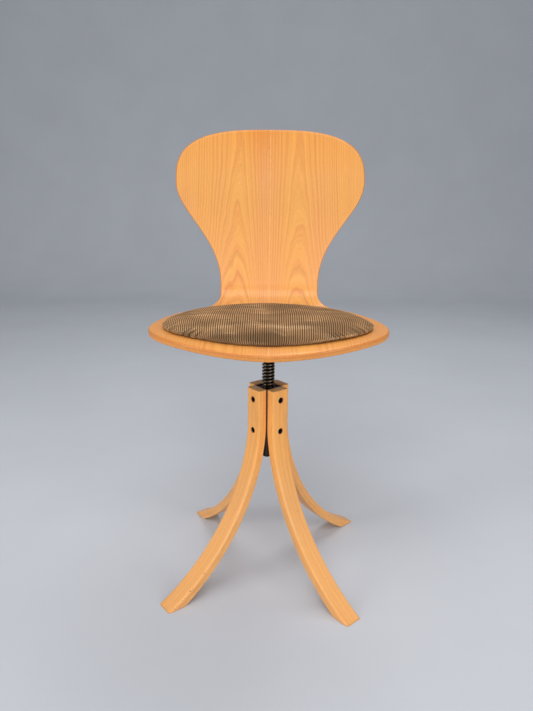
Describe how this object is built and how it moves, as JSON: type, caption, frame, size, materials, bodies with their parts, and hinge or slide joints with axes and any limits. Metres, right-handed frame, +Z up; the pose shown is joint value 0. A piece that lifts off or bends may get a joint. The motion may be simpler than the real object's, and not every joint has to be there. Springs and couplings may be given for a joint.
{
  "type": "office chair",
  "caption": "Height-adjustable swivel chair: a one-piece moulded beech seat and back with a corduroy cushion, on a threaded steel spindle above bent laminated legs.",
  "frame": {"origin": "on the floor, under the middle of the chair's overall box", "axes": "+Z up along the spindle; -Y is the front, towards which a person sits facing; +X is the right-hand side seen from the front"},
  "size_m": [0.3896, 0.4369, 0.7694],
  "materials": {
    "beech": "satin clear lacquer over steamed beech veneer",
    "plywood": "bare plywood",
    "corduroy": "brown corduroy with ribs from front to back",
    "foam": "soft upholstery foam",
    "black_steel": "satin black paint",
    "greased_steel": "dark steel under a film of grease",
    "zinc_steel": "zinc plated",
    "black_nylon": "moulded matte"
  },
  "bodies": {
    "base": {"post_tube": "black_steel", "post_end_cap": "black_nylon", "spindle_nut": "black_steel", "leg_front_left": "beech", "leg_front_right": "beech", "leg_rear_left": "beech", "leg_rear_right": "beech", "upper_bolt_front_left": "black_steel", "upper_bolt_front_right": "black_steel", "upper_bolt_rear_left": "black_steel", "upper_bolt_rear_right": "black_steel", "lower_bolt_front_left": "black_steel", "lower_bolt_front_right": "black_steel", "lower_bolt_rear_left": "black_steel", "lower_bolt_rear_right": "black_steel"},
    "guide": {"spindle_guide": "black_nylon"},
    "seat": {"spindle": "greased_steel", "guide_washer": "zinc_steel", "guide_screw": "zinc_steel", "seat_plate": "black_steel", "hub_set_screw": "black_steel", "plate_screw_1": "zinc_steel", "plate_screw_2": "zinc_steel", "plate_screw_3": "zinc_steel", "plate_screw_4": "zinc_steel", "seat_shell": "beech", "cushion_board": "plywood", "cushion_foam": "foam", "cushion_cover": "corduroy", "cushion_screw_1": "zinc_steel", "cushion_screw_2": "zinc_steel", "cushion_screw_3": "zinc_steel", "cushion_screw_4": "zinc_steel"}
  },
  "joints": [
    {"name": "seat_rise", "type": "slide", "parent": "base", "child": "guide", "axis": [0, 0, 1], "range_m": [-0.035, 0.035]},
    {"name": "seat_turn", "type": "hinge", "parent": "guide", "child": "seat", "pos_m": [0, -0.04238, 0.2723], "axis": [0, 0, 1], "range_deg": [-2210, 2210]}
  ],
  "couplings": [
    {"joint": "seat_rise", "follows": "seat_turn", "m_per_rad": 0.00090718}
  ]
}
